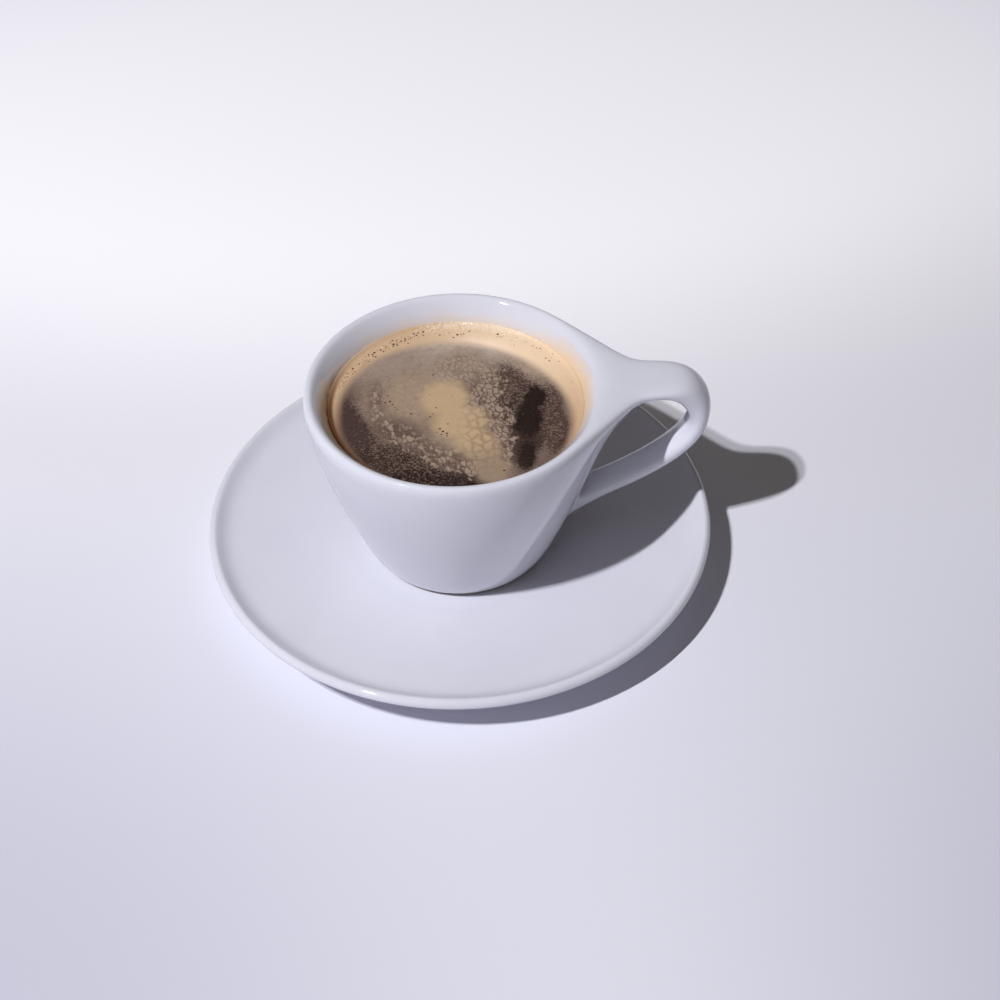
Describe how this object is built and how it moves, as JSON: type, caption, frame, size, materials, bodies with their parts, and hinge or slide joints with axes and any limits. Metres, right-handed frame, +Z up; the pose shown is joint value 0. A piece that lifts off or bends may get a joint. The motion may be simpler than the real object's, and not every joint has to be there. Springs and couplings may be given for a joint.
{
  "type": "americano",
  "caption": "Coffee with crema in a thick porcelain cup whose rim runs out into a flat loop handle, on a round saucer with a sunken well.",
  "frame": {"origin": "middle of the saucer's foot ring, on the table", "axes": "+Z up, along the axis of cup and saucer; +X from the cup's axis towards its handle; +Y completes the right-handed frame"},
  "size_m": [0.152, 0.152, 0.0662],
  "materials": {
    "porcelain": "glossy white glaze",
    "coffee": "dark clear liquid",
    "crema": "thin tan foam, partly broken up"
  },
  "bodies": {
    "root": {"saucer": "porcelain", "cup": "porcelain", "coffee": "coffee", "crema": "crema"}
  },
  "joints": []
}
